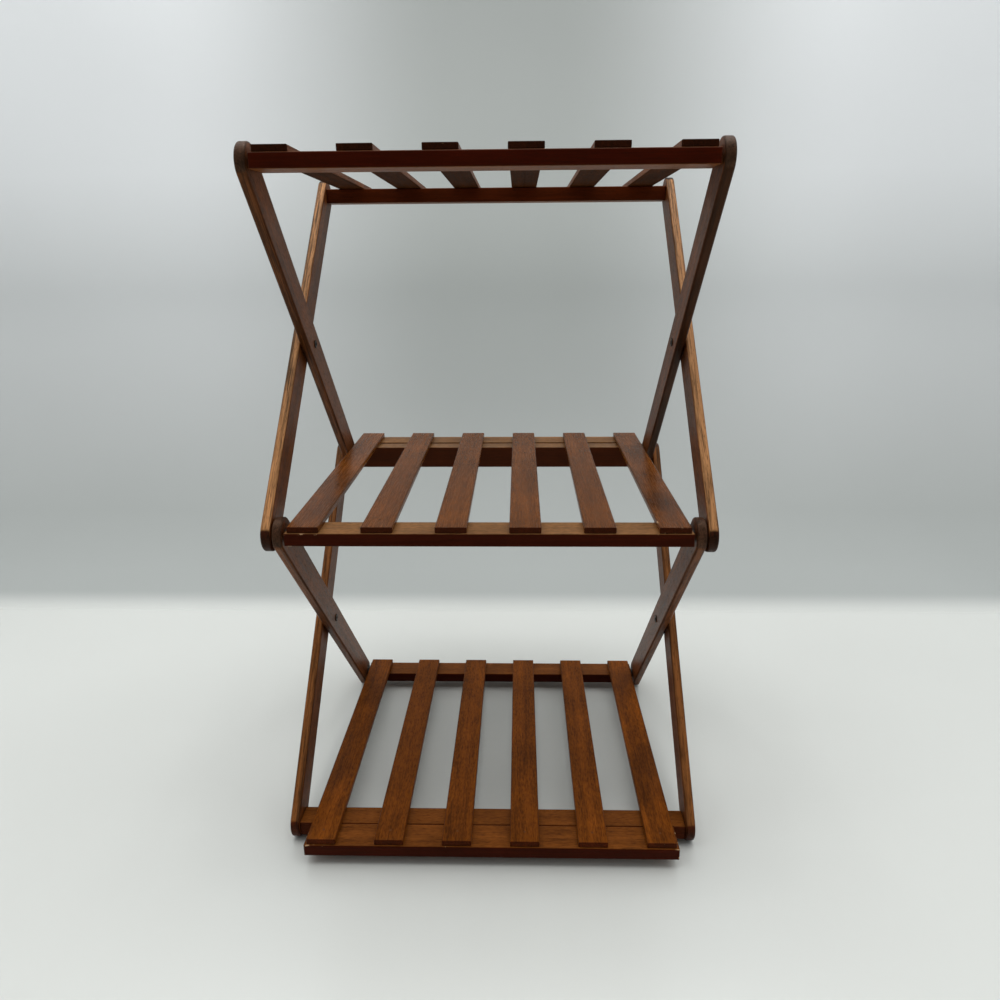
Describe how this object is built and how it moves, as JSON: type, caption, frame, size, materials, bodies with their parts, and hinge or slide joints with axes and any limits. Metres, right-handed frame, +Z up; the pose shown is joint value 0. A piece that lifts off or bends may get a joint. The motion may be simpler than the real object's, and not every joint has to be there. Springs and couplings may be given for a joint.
{
  "type": "folding plant ladder stand",
  "caption": "Folding wooden ladder stand: crossed legs carry slatted shelves that pivot on one side and hook over cross bars on the other.",
  "frame": {"origin": "on the floor, under the middle of the open stand", "axes": "+X to the right along the rails, +Y to the rear along the slats, +Z up"},
  "size_m": [0.4026, 0.3816, 0.6429],
  "materials": {
    "stained_leg": "satin",
    "stained_rail": "satin",
    "stained_slat": "satin",
    "screw_zinc": "satin",
    "rivet_brass": "aged",
    "washer_steel": "satin",
    "spacer_nylon": "matte"
  },
  "bodies": {
    "lower_inner_legs": {"lower_inner_leg_left": "stained_leg", "lower_inner_leg_right": "stained_leg"},
    "lower_outer_legs": {"lower_outer_leg_left": "stained_leg", "lower_outer_leg_right": "stained_leg", "bottom_front_bar": "stained_rail", "bottom_bar_screws": "screw_zinc", "lower_crossing_rivets": "rivet_brass", "lower_crossing_washers": "washer_steel", "rear_pivot_washers": "washer_steel"},
    "upper_outer_legs": {"upper_outer_leg_left": "stained_leg", "upper_outer_leg_right": "stained_leg", "top_rear_bar": "stained_rail", "top_bar_screws": "screw_zinc", "upper_crossing_rivets": "rivet_brass", "upper_crossing_washers": "washer_steel", "front_pivot_washers": "washer_steel"},
    "upper_inner_legs": {"upper_inner_leg_left": "stained_leg", "upper_inner_leg_right": "stained_leg", "middle_rear_bar": "stained_rail", "rear_pivot_screws": "screw_zinc"},
    "bottom_shelf": {"bottom_pivot_rail": "stained_rail", "bottom_hook_rail": "stained_rail", "bottom_slat_1": "stained_slat", "bottom_slat_2": "stained_slat", "bottom_slat_3": "stained_slat", "bottom_slat_4": "stained_slat", "bottom_slat_5": "stained_slat", "bottom_slat_6": "stained_slat", "bottom_brads": "screw_zinc", "bottom_pivot_screws": "screw_zinc", "bottom_pivot_spacers": "spacer_nylon"},
    "middle_shelf": {"middle_pivot_rail": "stained_rail", "middle_hook_rail": "stained_rail", "middle_slat_1": "stained_slat", "middle_slat_2": "stained_slat", "middle_slat_3": "stained_slat", "middle_slat_4": "stained_slat", "middle_slat_5": "stained_slat", "middle_slat_6": "stained_slat", "middle_brads": "screw_zinc", "middle_pivot_screws": "screw_zinc", "middle_pivot_spacers": "spacer_nylon"},
    "top_shelf": {"top_pivot_rail": "stained_rail", "top_hook_rail": "stained_rail", "top_slat_1": "stained_slat", "top_slat_2": "stained_slat", "top_slat_3": "stained_slat", "top_slat_4": "stained_slat", "top_slat_5": "stained_slat", "top_slat_6": "stained_slat", "top_brads": "screw_zinc", "top_pivot_screws": "screw_zinc", "top_pivot_spacers": "spacer_nylon"}
  },
  "joints": [
    {"name": "fold", "type": "hinge", "parent": "lower_inner_legs", "child": "lower_outer_legs", "pos_m": [0, 0, 0.16847], "axis": [1, 0, 0], "range_deg": [0, 79]},
    {"name": "upper_outer_fold", "type": "hinge", "parent": "lower_inner_legs", "child": "upper_outer_legs", "pos_m": [0, -0.1475, 0.32144], "axis": [1, 0, 0], "range_deg": [0, 79]},
    {"name": "upper_inner_fold", "type": "hinge", "parent": "upper_outer_legs", "child": "upper_inner_legs", "pos_m": [0, 0, 0.47441], "axis": [1, 0, 0], "range_deg": [-79, 0]},
    {"name": "bottom_shelf_lift", "type": "hinge", "parent": "lower_inner_legs", "child": "bottom_shelf", "pos_m": [0, 0.1475, 0.0155], "axis": [1, 0, 0], "range_deg": [-51, 0]},
    {"name": "middle_shelf_lift", "type": "hinge", "parent": "lower_inner_legs", "child": "middle_shelf", "pos_m": [0, -0.1475, 0.32144], "axis": [1, 0, 0], "range_deg": [0, 130]},
    {"name": "top_shelf_lift", "type": "hinge", "parent": "upper_inner_legs", "child": "top_shelf", "pos_m": [0, -0.1475, 0.62738], "axis": [1, 0, 0], "range_deg": [0, 130]}
  ],
  "couplings": [
    {"joint": "upper_outer_fold", "follows": "fold", "ratio": 1},
    {"joint": "upper_inner_fold", "follows": "fold", "ratio": -1},
    {"joint": "bottom_shelf_lift", "follows": "fold", "ratio": -0.64},
    {"joint": "middle_shelf_lift", "follows": "fold", "ratio": 1.64},
    {"joint": "top_shelf_lift", "follows": "fold", "ratio": 1.64}
  ]
}
